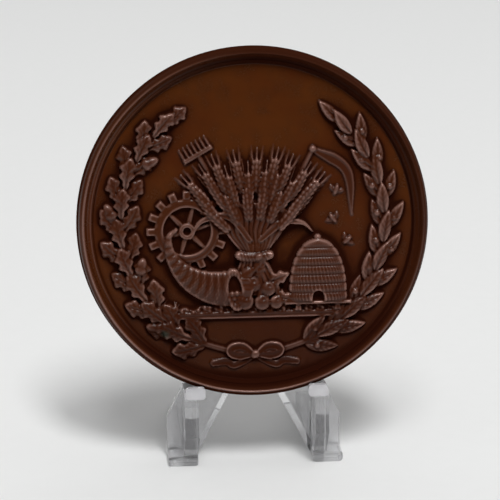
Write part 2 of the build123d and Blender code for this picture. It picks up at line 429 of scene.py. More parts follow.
def leaf(place, turn, length, width, margin, base, tip, bend, swell=0.75, twist=0.0):
    """A leaf that climbs from base to tip. margin(share) gives its half width, up to 1."""
    view, along, across = die.near(place, 1.1 * length, turn)
    share = np.clip(along / length, 0, 1)
    across = across - bend * length * share * share
    side = across / np.maximum(width / 2 * margin(share), LEAST_WIDTH)
    crown = swell * dome(side) * np.sqrt(np.sin(np.pi * (0.06 + 0.88 * share)))
    crease = CREASE_DEPTH * stripe(across, CREASE_WIDTH) * (1 - 0.7 * share)
    veins = VEIN_DEPTH * np.cos(2 * np.pi * (along - np.abs(across) / 0.8) / VEIN_PITCH)
    tilt = twist * side * np.sin(np.pi * share)
    inside = (along > 0) & (along < length) & (np.abs(side) < 1)
    raise_to(view, base + (tip - base) * share + crown - crease + veins + tilt, inside)


def laurel_margin(share):
    return np.sin(np.pi * share**0.85) ** 0.8


def oak_margin(share):
    outline = np.interp(share, [0, 0.1, 0.35, 0.65, 0.88, 1], [0.15, 0.3, 0.78, 1.0, 0.72, 0.0])
    lobes = 1 - 0.34 * (0.5 + 0.5 * np.cos(2 * np.pi * (3.3 * share + 0.12)))
    return outline * lobes


def vine_margin(share):
    outline = np.interp(share, [0, 0.2, 0.45, 0.7, 1], [0.5, 1.0, 0.85, 0.7, 0.0])
    lobes = 1 - 0.3 * (0.5 + 0.5 * np.cos(2 * np.pi * 2.6 * share))
    return outline * lobes


middles = [round(float(margin(0.5)), 2) for margin in (laurel_margin, oak_margin, vine_margin)]
print("laurel, oak and vine leaf are", middles, "of their width half way up")

# %% [markdown]
# A branch is a bent stem along the rim, with stations at even angles where leaves and
# fruit grow. The oak carries acorns in their scaly cups and the laurel carries
# berries. Angles start at the foot, where both stems cross.

# %% Shape the stem and its fruit
BRANCH_REACH = 0.83                         # as a share of the field's radius
BRANCH_START, BRANCH_END = -9.0, 138.0      # degrees round the rim from the foot
LEAVES_START = 22.0
STATIONS = 9
LEAF_PITCH = (BRANCH_END - LEAVES_START) / STATIONS
STEM_POINTS = 700


def branch_place(side, turn_deg, reach=BRANCH_REACH):
    """A place on the branch and the direction in which it grows."""
    turn = math.radians(turn_deg)
    place = on_field(side * reach * math.sin(turn), -reach * math.cos(turn))
    return place, math.atan2(math.sin(turn), side * math.cos(turn))


def stem(side):
    turns = np.linspace(BRANCH_START, BRANCH_END, STEM_POINTS)
    sway = 0.006 * np.sin(np.linspace(0, 26, STEM_POINTS))
    path = [branch_place(side, turn, BRANCH_REACH + shift)[0] for turn, shift in zip(turns, sway)]
    cord(path, [0.7, 0.6, 0.5, 0.35], heights=[0.5, 0.45, 0.4, 0.3], bases=[0.3, 0.35, 0.3, 0.15])


def at_station(station):
    """Degrees round the rim to a station, where leaves and fruit grow."""
    return LEAVES_START + station * LEAF_PITCH


def berries(side, station):
    """Two berries, one outside and one inside the stem."""
    for shift, out in ((0.35, 0.055), (0.55, -0.05)):
        place = branch_place(side, at_station(station + shift), BRANCH_REACH + out)[0]
        swelling(place, 0, long=0.8, wide=0.8, height=0.75, base=0.6)


def acorns(side, station):
    """An acorn at every second station, outside and inside the stem in turn."""
    if station % 2:
        out = 0.075 if station % 4 == 1 else -0.075
        place, growth = branch_place(side, at_station(station + 0.72), BRANCH_REACH + out)
        turn = growth + (0.6 if out * side < 0 else -0.6)
        swelling(place, turn, long=2.0, wide=1.1, height=0.95, base=0.55)
        view, along, across = die.near(place, 2.2, turn)
        scales = 0.1 * np.cos(2 * np.pi * along / 0.5) * np.cos(2 * np.pi * across / 0.5)
        left = 1 - ((along + 0.8) / 1.1) ** 2 - (across / 1.3) ** 2
        cup = 0.8 + 0.85 * np.sqrt(np.maximum(left, 0)) + scales
        raise_to(view, cup, (left > 0) & (along < -0.15))


print("a station of leaves and fruit every", round(LEAF_PITCH, 1), "degrees")

# %% [markdown]
# The leaves grow in threes, one to each side and one between them over the stem, with
# a single one at the tip. Each leaf's turn, length, lift and twist are drawn from a
# seeded source, because equal leaves look stamped and not cut.

# %% Cut the branches
LEAF_BASES = (0.3, 0.25, 0.8)               # for the two side leaves and the middle one


def branch(side, leaf_length, leaf_width, margin, slant, fruit):
    """A whole branch: side is -1 for the left one and 1 for the right one."""
    stem(side)
    for station in range(STATIONS + 1):
        growing = 1 - 0.15 * station / STATIONS
        last = station == STATIONS
        for order, lean in enumerate((0,) if last else (-slant, slant, 0.18 * slant)):
            place, growth = branch_place(side, at_station(station + (0.5 if order == 2 else 0)))
            turn = growth + lean + rng.uniform(-0.09, 0.09)
            length = leaf_length * growing * rng.uniform(0.94, 1.06)
            base = LEAF_BASES[order]
            tip = base + rng.uniform(-0.1, 0.5)
            twist = rng.uniform(-0.32, 0.32)
            bend = -0.12 * np.sign(lean)
            leaf(place, turn, length, leaf_width * growing, margin, base, tip, bend, twist=twist)
        if not last:
            fruit(side, station)


branch(-1, leaf_length=7.6, leaf_width=4.6, margin=oak_margin, slant=0.68, fruit=acorns)
branch(1, leaf_length=7.8, leaf_width=3.1, margin=laurel_margin, slant=0.62, fruit=berries)
tell("both branches")

# %% [markdown]
# ## Rake and scythe
# The back of the trophy is the lowest layer: a rake and a scythe crossed behind the
# sheaf. They are crisp, turned and forged things. The handles are cords of even
# width, and the blade is a form along a path with a raised back and a thin edge.

# %% Cut the rake and the scythe
HANDLE_STEP = 0.1
HANDLE = {"widths": 0.5, "heights": 0.55, "bases": 0.1}
TINE_LENGTH = 2.9


def rake(foot, head, bar, tines):
    cord(flow([foot, head], HANDLE_STEP), **HANDLE)
    turn = math.atan2(head[1] - foot[1], head[0] - foot[0])
    cos, sin = math.cos(turn), math.sin(turn)
    view, along, across = die.near(head, bar, turn)
    beam = np.minimum(0.62 - np.abs(along), bar / 2 - np.abs(across))
    raise_to(view, 0.85 * rising(beam), beam > 0)
    for shift in np.linspace(0.5 - bar / 2, bar / 2 - 0.5, tines):
        start = (head[0] - shift * sin, head[1] + shift * cos)
        end = (start[0] + TINE_LENGTH * cos, start[1] + TINE_LENGTH * sin)
        path = flow([start, end], HANDLE_STEP)
        cord(path, widths=[0.34, 0.3, 0.12], heights=[0.55, 0.5, 0.25], bases=0.12)


def scythe(foot, head, tip):
    halfway = ((foot[0] + head[0]) / 2 + 0.5, (foot[1] + head[1]) / 2 - 0.5)
    cord(flow([foot, halfway, head], HANDLE_STEP), **HANDLE)
    bow_out = ((head[0] + tip[0]) / 2 + 3.0, (head[1] + tip[1]) / 2 + 2.6)

    def edge(along, across):
        return 0.28 + 0.25 * stripe(across - 0.75, 0.3) + 0.11 * (1 - across)

    form(flow([head, bow_out, tip], HANDLE_STEP), [0.5, 1.25, 1.1, 0.7, 0.15], edge)
    swelling(head, 0, long=0.8, wide=0.8, height=0.6, base=0.35)


rake(foot=on_field(-0.04, -0.1), head=on_field(-0.345, 0.44), bar=7.2, tines=7)
scythe(foot=on_field(0.04, -0.1), head=on_field(0.375, 0.46), tip=on_field(0.62, 0.04))
tell("rake and scythe")

# %% [markdown]
# ## The toothed wheel
# A cast wheel is all edges, so distance formulas with a narrow bevel suit it better
# than swellings. The teeth come from a wave round the rim that is cut off at the top,
# and the spokes from one sector that is repeated round the hub.

# %% Cut the wheel
def cog_wheel(place, radius, tooth, teeth, spokes):
    view, x, y = die.near(place, radius + 2 * tooth)
    reach = np.hypot(x, y)
    angle = np.arctan2(y, x)
    outside = radius + tooth * (rising(np.cos(teeth * angle) + 0.35, 0.5) - 0.25)
    bore = 0.66 * radius
    ring = np.minimum(outside - reach, reach - bore)
    groove = 0.16 * stripe(reach - radius + 0.75, 0.16)
    lip = 0.2 * stripe(reach - bore - 0.35, 0.22)
    raise_to(view, 0.95 * rising(ring) + lip - groove, ring > 0)
    sector = (angle + 0.26) % (2 * np.pi / spokes) - np.pi / spokes
    spoke = 0.42 + 0.05 * (radius - reach) - np.abs(reach * np.sin(sector))
    raise_to(view, 0.3 + 0.5 * rising(spoke, 0.4), (spoke > 0) & (reach < bore + 0.1))
    hub = 0.26 * radius - reach
    raise_to(view, 1.25 * rising(hub, 0.35), hub > 0)
    view[reach < 0.11 * radius] = 0.25
    view[np.abs(reach - 0.17 * radius) < 0.12] -= 0.12


cog_wheel(on_field(-0.42, -0.04), radius=0.22 * FIELD, tooth=0.05 * FIELD, teeth=16, spokes=6)
tell("the wheel")

# %% [markdown]
# ## The ground
# Bar and turf carry the whole trophy. The bar is a strip with a groove, and the turf
# over it is a sum of waves of unlike lengths, which looks like rough grass and never
# repeats. A few tufts of blades break its upper edge.

# %% Cut the ground
GROUND_TOP = -0.555 * FIELD


def ground(top, half_width, depth):
    """The bar that the trophy stands on, with rough turf over it."""
    x, y = die.x, die.y
    fall = top - y
    band = (np.abs(fall) < 3.2) & (np.abs(x) < half_width)
    ends = rising(half_width - np.abs(x), 1.2)
    upper = rising(fall, 0.2) * rising(depth - fall, 0.2)
    groove = 0.25 * stripe(fall - 0.55 * depth, 0.13)
    raise_to(die.height, (0.95 - groove) * upper * ends, band & (fall > 0) & (fall < depth))
    lumps = 0.18 * np.sin(2.3 * x) + 0.14 * np.sin(5.1 * x + 1) + 0.1 * np.sin(6 * y + 3 * x)
    turf = 1.5 + 0.5 * np.sin(0.55 * x) + 0.3 * np.sin(1.7 * x + 2) + fall
    raise_to(die.height, (0.75 + lumps) * rising(turf, 0.7) * ends, band & (turf > 0) & (fall <= 0.1))


def tuft(place, count, length):
    for number in range(count):
        turn = math.pi / 2 + (number - (count - 1) / 2) * 0.33 + rng.uniform(-0.1, 0.1)
        reach = length * rng.uniform(0.75, 1.1)
        rise = reach * math.sin(turn)
        drift = reach * math.cos(turn)
        tip = (place[0] + drift, place[1] + rise)
        bend = (place[0] + 0.35 * drift, place[1] + 0.5 * rise + 0.2)
        path = flow([place, bend, tip], FINE_STEP)
        cord(path, widths=[0.26, 0.22, 0.1], heights=[0.45, 0.4, 0.2], bases=[0.7, 0.5, 0.2])


ground(GROUND_TOP, half_width=0.66 * FIELD, depth=1.75)
for share, blades, length in ((-0.6, 5, 3.0), (-0.5, 4, 2.2), (0.185, 4, 2.4), (0.6, 6, 3.2)):
    tuft((share * FIELD, GROUND_TOP), blades, length)
tell("the ground")

# %% [markdown]
# ## The wheat sheaf
# A sheaf is a waisted bundle: straws run from a skirt through a twisted band and fan
# out into ears. Ridges across a swelling give the straws, and every straw gets its
# own small height and length, because equal ridges look like a comb.

# %% Cut the straws
BAND = -0.2 * FIELD
WAIST = 0.074 * FIELD
STRAWS = 12


def straws(upward, reach, fan, count):
    """A fan of straws from the waist, up to the ears or down to the cut ends."""
    waist = WAIST / math.tan(fan)
    x = die.x
    y = (die.y - BAND) * upward + waist
    away = np.hypot(x, y)
    angle = np.arctan2(x, y)
    slot = (angle / fan + 1) / 2 * count + 0.22 * np.sin(away * 0.9)
    jog = rng.uniform(-1, 1, count + 1)[np.clip(slot.astype(int), 0, count)]
    ridge = dome(2 * (slot % 1) - 1)
    end = reach + 0.5 * jog
    arch = np.sqrt(np.maximum(1 - 0.9 * (angle / fan) ** 2, 0))
    heights = 0.45 + 0.7 * arch + 0.42 * ridge + 0.14 * jog
    inside = (np.abs(angle) < fan) & (away < end) & (y > 0.6 * waist)
    raise_to(die.height, heights * rising(end - away, 0.5), inside)


straws(1, reach=0.44 * FIELD, fan=math.radians(37), count=STRAWS)
straws(-1, reach=0.455 * FIELD, fan=math.radians(23), count=STRAWS - 3)
tell("the straws")

# %% [markdown]
# Each ear is two rows of grains with a third between them, and long awns. The ears
# stand in three tiers. The nearest tier is the shortest and the highest, so that it
# covers the feet of the ones behind it.

# %% Cut the ears
EAR_FAN = math.radians(43)
EAR_TIERS = (           # reach from the band as a share of the field, ears, base, length
    (0.405, 9, 0.8, 7.4),
    (0.32, 8, 1.05, 7.2),
    (0.225, 6, 1.35, 7.0),
)
GRAIN_PAIRS = 6


def grain(place, turn, size, base):
    swelling(place, turn, long=0.9 * size, wide=0.47 * size, height=0.55 * size, base=base)


def ear(place, turn, length, base):
    cos, sin = math.cos(turn), math.sin(turn)

    def at(along, across):
        return (place[0] + along * cos - across * sin, place[1] + along * sin + across * cos)

    for number in range(GRAIN_PAIRS):
        share = number / (GRAIN_PAIRS - 1)
        size = 1.15 - 0.4 * abs(share - 0.4)
        along = (0.08 + 0.78 * share) * length
        lift = base + 0.12 * math.sin(math.pi * share)
        for side in (-1, 1):
            grain(at(along, side * 0.5 * size), turn + side * 0.38, size, lift)
            if number > 1:
                start = at(along + 0.6, side * 0.85)
                end = at(along + 2.8 + share, side * (1.8 - 0.5 * share))
                awn = flow([start, end], FINE_STEP)
                cord(awn, widths=[0.2, 0.12], heights=[0.35, 0.2], bases=[base - 0.45, base - 0.75])
        grain(at(along + 0.4, 0), turn, size * 0.95, lift + 0.24)
    middle_awn = flow([at(length * 0.9, 0), at(length + 2.2, 0)], FINE_STEP)
    cord(middle_awn, widths=[0.22, 0.12], heights=0.3, bases=[base - 0.2, base - 0.6])


for reach, count, base, length in EAR_TIERS:
    for number in range(count):
        turn = math.pi / 2 - EAR_FAN * (2 * number / (count - 1) - 1) + rng.uniform(-0.04, 0.04)
        from_band = reach * FIELD * rng.uniform(0.97, 1.03)
        seat = (from_band * math.cos(turn), BAND + from_band * math.sin(turn))
        ear(seat, turn + rng.uniform(-0.08, 0.08), length, base)
tell("the ears")

# %% [markdown]
# Two drooping leaves soften the sheaf's sides, and a straw rope ties its waist. Both
# are forms along a path: the leaf is folded at its rib, and the rope has a wave
# across it that reads as twisted strands. Its knot and ends lie over it.

# %% Cut the leaves and the straw band
def wheat_leaf(points, width, base):
    """A drooping wheat leaf, through places given as shares of the field's radius."""
    def fold(along, across):
        return base - 0.5 * along**2 + 0.22 * np.abs(across) + 0.1 * (1 - along)

    path = flow([on_field(*point) for point in points], BROAD_STEP)
    form(path, [width * 0.7, width, width * 0.8, 0.12], fold)


def straw_band(level, half, thick):
    def twist(along, across):
        strands = np.cos(2 * np.pi * (along * 9 + across * 0.55))
        return 1.35 + 0.7 * dome(across) + 0.11 * strands

    sag = [(-half, level), (-half * 0.5, level - 0.35), (half * 0.5, level - 0.35), (half, level)]
    form(flow(sag), thick, twist)
    knot_x = 0.9
    swelling((knot_x, level - 0.3), 0.4, long=1.15, wide=0.85, height=0.75, base=1.65)
    for x, drop in ((3.0, 2.7), (1.2, 3.2)):
        hanging = [(knot_x, level - 0.4), ((knot_x + x) / 2 + 0.3, level - 1.5), (x, level - drop)]
        path = flow(hanging, FINE_STEP)
        cord(path, widths=[0.4, 0.35, 0.2], heights=[0.4, 0.4, 0.3], bases=[1.6, 1.45, 1.2])


wheat_leaf([(-0.03, -0.1), (-0.16, 0.05), (-0.33, 0.02), (-0.4, -0.09)], width=0.8, base=1.55)
wheat_leaf([(0.04, -0.1), (0.17, 0.0), (0.3, 0.0), (0.37, -0.06)], width=0.8, base=1.5)
straw_band(BAND, half=0.092 * FIELD, thick=1.05)
tell("the whole sheaf")

# %% [markdown]
# ## The beehive
# A straw hive is a rope of straw coiled into a dome. In relief it is a swelling whose
# half width follows the dome, with a rounded band for every coil and short slanting
# binding stitches on it. It stands on a board with two feet, and a few bees fly near.

# %% Cut the hive
HIVE_X = 0.4 * FIELD
HIVE_TOP = -0.1 * FIELD
HIVE_HALF = 0.185 * FIELD
HIVE_OVER_GROUND = 1.9
HIVE_FOOT_OUT, HIVE_FOOT_UP = 4.3, 0.8      # from the hive's middle, and over the ground
COILS = 7
STITCH_PITCH = 0.85


def hive(place_x, base_y, top_y, half):
    tall = top_y - base_y
    view, x, y = die.near((place_x, (base_y + top_y) / 2), tall / 2 + 2)
    above = y + tall / 2
    share = above / tall
    level = share * COILS
    coil = dome(2 * (level % 1) - 1)
    width = half * np.sqrt(np.maximum(1 - np.clip(share, 0, 1) ** 2.3, 0)) * (0.97 + 0.05 * share)
    side = x / np.maximum(width + 0.22 * coil, LEAST_WIDTH)
    round_it = np.arcsin(np.clip(side, -1, 1)) * half / STITCH_PITCH
    stitch = np.cos(2 * np.pi * (round_it + (level % 1) * 0.5 + np.floor(level) * 0.4))
    swell = 0.75 + 1.3 * dome(side) * (1 - 0.25 * np.clip(share, 0, 1) ** 2)
    inside = (share > 0) & (share < 1) & (np.abs(side) < 1)
    raise_to(view, swell + 0.45 * coil + 0.11 * stitch * coil, inside)
    door = 1 - (x / 1.25) ** 2 - (np.maximum(above - 0.9, 0) / 1.4) ** 2
    opening = (door > 0) & (share > 0)
    view[opening] = np.minimum(view, 0.95 + 0.25 * (1 - np.clip(door, 0, 1)))[opening]
    board = np.minimum(half + 1.1 - np.abs(x), 0.55 - np.abs(above + 0.3))
    raise_to(view, 1.75 * rising(board, 0.25), board > 0)
    swelling((place_x, top_y + 0.25), 0, long=0.8, wide=0.65, height=0.6, base=1.15)


def hive_foot(x, y):
    view, right, up = die.near((x, y), 1.4)
    block = np.minimum(0.75 - np.abs(right) - 0.12 * up, 1.1 - np.abs(up))
    raise_to(view, 1.35 * rising(block, 0.25), block > 0)


def bee(place, turn, size):
    for side in (-1, 1):
        out = side * 0.6 * size
        wing = (place[0] - out * math.sin(turn), place[1] + out * math.cos(turn))
        swelling(wing, turn + side, long=0.8 * size, wide=0.36 * size, height=0.3, base=0.15)
    swelling(place, turn, long=0.95 * size, wide=0.42 * size, height=0.5, base=0.25)


hive(HIVE_X, GROUND_TOP + HIVE_OVER_GROUND, HIVE_TOP, HIVE_HALF)
for side in (-1, 1):
    hive_foot(HIVE_X + side * HIVE_FOOT_OUT, GROUND_TOP + HIVE_FOOT_UP)
for x, y, turn in ((0.59, -0.12, 0.7), (0.5, 0.02, 2.2), (0.52, 0.2, 1.2)):
    bee(on_field(x, y), turn, size=1.3)
tell("hive and bees")

# %% [markdown]
# ## The horn of plenty
# The horn is a basket curved to a tail. A thick form along a smooth path gives it,
# with a shape function for woven rings. Its mouth is a rolled edge, and it is cut
# after the horn, so that its hollow can be sunk into the thick end.

# %% Cut the horn
HORN = (                # right, up and half width, as shares of the field's radius
    (-0.13, -0.41, 0.118),
    (-0.27, -0.4, 0.104),
    (-0.42, -0.33, 0.08),
    (-0.52, -0.2, 0.052),
    (-0.535, -0.08, 0.028),
    (-0.49, -0.03, 0.012),
)
HORN_RINGS = 13
STRANDS_PER_RING = 3


def wicker(along, across):
    """The horn's height: a tapering swelling with rings, and a fine weave on them."""
    round_it = dome(across)
    swell = np.interp(along, [0, 0.5, 0.85, 1], [1.2, 0.95, 0.6, 0.4])
    turns = 2 * np.pi * HORN_RINGS * along
    rings = 0.18 * np.cos(turns) * np.interp(along, [0, 1], [1, 0.5])
    weave = 0.11 * np.cos(turns * STRANDS_PER_RING) * np.cos(np.arcsin(across) * 11)
    return 1.0 + swell * round_it + (rings + weave) * np.sqrt(round_it)


def mouth(place, turn, tall, wide):
    view, along, across = die.near(place, tall, turn)
    reach = np.sqrt((along / wide) ** 2 + (across / tall) ** 2)
    roll = dome((reach - 0.84) / 0.2)
    cords = 0.07 * np.cos(16 * np.arctan2(across / tall, along / wide) + 6 * reach)
    inner = reach < 0.7
    view[inner] = np.minimum(view, 1.15)[inner]
    raise_to(view, 1.55 + 0.6 * roll + cords, (roll > 0) & (reach > 0.64))


horn_path = flow([on_field(x, y) for x, y, half in HORN], BROAD_STEP)
form(horn_path, [half * FIELD for x, y, half in HORN], wicker)
mouth(on_field(-0.125, -0.415), turn=0.12, tall=0.135 * FIELD, wide=0.06 * FIELD)
tell("the horn")

# %% [markdown]
# The fruit that falls from the horn is a handful of swellings: apples with a dimple,
# a pear, grapes and a few vine leaves. The leaves are cut first and lie lowest, and
# the fruit is cut over them.

# %% Cut the fruit
VINE_LEAVES = (         # right and up as shares of the field's radius, turn, length
    (-0.01, -0.33, 0.9, 4.4),
    (0.1, -0.37, 0.35, 4.6),
    (0.14, -0.47, -0.2, 4.0),
)
APPLES = (              # right, up and radius, as shares of the field's radius
    (-0.062, -0.49, 0.056),
    (-0.015, -0.385, 0.054),
    (0.045, -0.5, 0.05),
    (0.085, -0.415, 0.048),
    (0.135, -0.5, 0.044),
)


def apple(place, radius):
    swelling(place, 0, long=radius, wide=radius, height=radius * 0.55, base=1.3)
    view, x, y = die.near((place[0] + 0.15 * radius, place[1] + 0.45 * radius), radius * 0.35)
    view -= 0.15 * radius * np.exp(-((x * x + y * y) / (0.05 * radius * radius + 0.02)))


def grapes(place, rows, berry):
    for row in range(rows):
        for number in range(rows - row):
            x = place[0] + (number - (rows - row - 1) / 2) * berry * 1.7 + rng.uniform(-0.08, 0.08)
            y = place[1] - row * berry * 1.45 + rng.uniform(-0.08, 0.08)
            swelling((x, y), 0, long=berry, wide=berry, height=0.65, base=1.4 - 0.05 * row)


for x, y, turn, length in VINE_LEAVES:
    leaf(on_field(x, y), turn, length, 3.8, vine_margin, base=1.25, tip=1.45, bend=0.05, swell=0.4)
for x, y, radius in APPLES:
    apple(on_field(x, y), radius * FIELD)
pear = on_field(-0.055, -0.325)
swelling(pear, 0.9, long=2.2, wide=1.3, height=0.75, base=1.35)
grapes(on_field(-0.13, -0.44), rows=4, berry=0.66)
tell("the fruit")

# %% [markdown]
# ## The bow
# Where the stems cross at the foot, a ribbon bow ties them. A ribbon is flat with
# rolled edges, so its shape function is low in the middle and rises at the sides,
# and a slow wave along it makes it look like cloth.

# %% Cut the bow
KNOT = (0.0, -0.835 * FIELD)
RIBBON_TAIL = ((0, 0), (1.6, -1.2), (4.6, -2.4), (6.2, -1.7), (9.2, -1.9))
RIBBON_LOOP = ((0.2, 0), (2.6, 1.7), (5.0, 1.6), (5.3, 0.3), (3.4, -0.4), (0.2, 0))


def ribbon(side, places, widths, base, wave):
    """A ribbon to one side of the knot, through places in millimetres from it."""
    def cloth(along, across):
        edge = 0.16 * across**4
        return base + edge + wave * np.cos(4 * np.pi * along) - 0.1 * (1 - across**2)

    form(flow([(KNOT[0] + side * x, KNOT[1] + y) for x, y in places]), widths, cloth)


for side in (-1, 1):
    ribbon(side, RIBBON_TAIL, [0.5, 0.75, 0.8, 0.7], base=0.45, wave=0.15)
    ribbon(side, RIBBON_LOOP, [0.5, 0.85, 0.9, 0.85, 0.5], base=0.95, wave=0.12)
swelling(KNOT, 0.3, long=1.1, wide=0.95, height=0.7, base=0.85)
tell("the bow")

# %% [markdown]
# ## Strike the medal
# Metal never fills a die's sharpest corners, so the raster is softened a little. Its
# own deeper blurs then tell hollows from high points: what lies below its
# surroundings keeps dark patina, and what stands above them is rubbed and painted
# lighter, partly as a painted highlight.

# %% Soften and read the die
STRIKE_SOFTNESS = 0.085
NEAR_REACH, WIDE_REACH, FAR_REACH = 0.35, 1.3, 2.6


def soften(raster, reach):
    taps = int(3 * reach / PITCH)
    weights = np.exp(-0.5 * (np.arange(-taps, taps + 1) * PITCH / reach) ** 2)
    weights /= weights.sum()
    for axis in (0, 1):
        raster = sum(weight * np.roll(raster, k - taps, axis) for k, weight in enumerate(weights))
    return raster


def read(raster, x, y):
    """Raster value between its points."""
    just_inside = die.axis.size - 1.001
    column = np.clip((x - die.axis[0]) / PITCH, 0, just_inside)
    row = np.clip((y - die.axis[0]) / PITCH, 0, just_inside)
    i, j = row.astype(int), column.astype(int)
    s, t = row - i, column - j
    lower = (1 - t) * raster[i, j] + t * raster[i, j + 1]
    upper = (1 - t) * raster[i + 1, j] + t * raster[i + 1, j + 1]
    return (1 - s) * lower + s * upper


struck = soften(die.height, STRIKE_SOFTNESS)
over_near = struck - soften(struck, NEAR_REACH)
over_wide = struck - soften(struck, WIDE_REACH)
over_far = struck - soften(struck, FAR_REACH)
hollow_map = np.clip(-3.2 * over_near, 0, 1) + np.clip(-over_wide, 0, 1) + np.clip(-0.5 * over_far, 0, 0.5)
crest = np.clip((over_near - 0.05) * 4.4, 0, 1) + np.clip((over_wide - 0.4) * 0.45, 0, 0.3)
wear_and_sheen_map = np.clip(crest, 0, 1) * np.clip(struck * 1.2, 0, 1)
raised_map = rising(struck, 0.25)
print("struck relief", round(struck.max(), 2), "mm high")

# %% [markdown]
# The rim is turned, so one profile gives it: radius and height, from the field over
# the ridge and the barrel-shaped edge to the back. Its corners are rounded with short
# curves, because a sharp corner never catches the light of a real coin edge.

# %% Draw the rim's profile
RIDGE = RADIUS - 1.45
CORNER_RADIUS = 0.3
FRONT_RIM = (           # radius and height
    (FIELD, FRONT_FIELD),
    (FIELD + 0.3, FRONT_FIELD + 0.75),
    (FIELD + 0.6, FRONT_FIELD + 1.0),
    (FIELD + 0.75, FRONT_FIELD + 1.2),
    (FIELD + 0.95, FRONT_FIELD + 1.1),
    (FIELD + 1.5, FRONT_FIELD + 1.3),
    (RIDGE - 0.45, HALF_THICK - 0.65),
    (RIDGE, HALF_THICK),
    (RIDGE + 0.22, HALF_THICK - 0.4),
    (RADIUS - 0.75, HALF_THICK - 0.65),
    (RADIUS - 0.45, HALF_THICK - 1.4),
    (RADIUS - 0.2, HALF_THICK - 2.1),
    (RADIUS, 0),
)
BACK_RIM = (            # radius and height
    (RADIUS, 0),
    (RADIUS - 0.2, 2.1 - HALF_THICK),
    (RADIUS - 0.45, 1.4 - HALF_THICK),
    (RADIUS - 0.75, 0.7 - HALF_THICK),
    (RIDGE + 0.25, 0.3 - HALF_THICK),
    (RIDGE, -HALF_THICK),
    (RIDGE - 0.45, 0.6 - HALF_THICK),
    (FIELD + 1.15, BACK_FIELD - 0.9),
    (FIELD + 0.8, BACK_FIELD - 0.75),
    (FIELD + 0.3, BACK_FIELD - 0.6),
    (FIELD, BACK_FIELD),
    (0.6 * FIELD, BACK_FIELD),
)


def rounded(points, radius, steps):
    """A profile with its corners rounded."""
    points = [np.array(point, float) for point in points]
    out = [points[0]]
    for before, corner, after in zip(points, points[1:], points[2:]):
        back, on = before - corner, after - corner
        cut = min(radius, 0.45 * np.hypot(*back), 0.45 * np.hypot(*on))
        start = corner + back / np.hypot(*back) * cut
        end = corner + on / np.hypot(*on) * cut
        for t in np.linspace(0, 1, steps + 1):
            out.append((1 - t) ** 2 * start + 2 * t * (1 - t) * corner + t * t * end)
    return np.array([*out, points[-1]])


front_rings = rounded(FRONT_RIM, CORNER_RADIUS, steps=2)[1:]
back_rings = rounded(BACK_RIM, CORNER_RADIUS, steps=1)[1:]
profile = np.vstack([front_rings, back_rings])
print("rim of", len(profile), "rings")

# %% [markdown]
# The blank's front is a square grid pressed into a disc, so that its cells stay
# nearly equal from the middle to the rim. Rings alone would crowd at the middle and
# grow coarse outside. Each point of the grid is lifted by the relief under it.

# %% Press the grid into a disc
GRID = 335              # cells along one side
FIELD_EDGE_BEVEL = 0.4

share = np.linspace(-1, 1, GRID + 1)
u, v = np.meshgrid(share, share)
disc_x = u * np.sqrt(1 - v * v / 2) * FIELD
disc_y = v * np.sqrt(1 - u * u / 2) * FIELD
disc_reach = np.hypot(disc_x, disc_y)
disc_z = FRONT_FIELD + read(struck, disc_x, disc_y) * rising(FIELD - disc_reach, FIELD_EDGE_BEVEL)
points = [np.stack([disc_x, disc_y, disc_z], -1).reshape(-1, 3)]

line = GRID + 1
cell = np.arange(GRID)
corner = (cell[:, None] * line + cell[None, :]).ravel()
faces = np.column_stack([corner, corner + 1, corner + line + 1, corner + line]).tolist()
boundary = np.concatenate([cell, cell * line + GRID, line**2 - 1 - cell, (GRID - cell) * line])
print("disc of", len(faces), "cells, with", boundary.size, "points round it")

# %% [markdown]
# Around the disc come the rings of the rim, the edge and the back, and one point
# closes the back. The disc's boundary has five points for each one of a ring, which
# saves faces where the metal is plain, so the first faces are seven-sided.

# %% Turn the rim, the edge and the back
BOUNDARY_STEP = 5

foot = points[0][boundary[::BOUNDARY_STEP]]
around = np.arctan2(foot[:, 1], foot[:, 0])
steps_back = np.arange(BOUNDARY_STEP, -1, -1)
grid_runs = boundary[(np.arange(around.size)[:, None] * BOUNDARY_STEP + steps_back) % boundary.size]
total = line**2
inner = None
for ring_radius, level in profile:
    ring = total + np.arange(around.size)
    after = np.roll(ring, -1)
    circle = [ring_radius * np.cos(around), ring_radius * np.sin(around), np.full(around.size, level)]
    points.append(np.column_stack(circle))
    seam = [ring, after, grid_runs] if inner is None else [inner, ring, after, np.roll(inner, -1)]
    faces += np.column_stack(seam).tolist()
    total += around.size
    inner = ring
points.append(np.array([[0, 0, BACK_FIELD]]))
faces += np.column_stack([inner, np.full(around.size, total), np.roll(inner, -1)]).tolist()

mesh = bpy.data.meshes.new("medal_struck")
mesh.from_pydata(to_row(np.vstack(points)).tolist(), [], faces)
mesh.update()
medal = bpy.data.objects.new("medal_struck", mesh)
bpy.context.scene.collection.objects.link(medal)
print("blank with", len(mesh.vertices), "points and", len(mesh.polygons), "faces")

# %% [markdown]
# The open field is flat, so it needs far fewer faces than the motifs. A vertex group
# marks the flat cells well away from any relief, and Decimate may only collapse
# those. The motifs keep every cell, and the piece stays under its face limit.

# %% Thin out the bare field
LEAST_RELIEF = 0.004
CLEAR_OF_RELIEF = 0.3
CLEAR_OF_RIM = 0.6
SHARE_THINNED = 0.985


def count_triangles(polygons):
    return sum(len(polygon) - 2 for polygon in polygons)


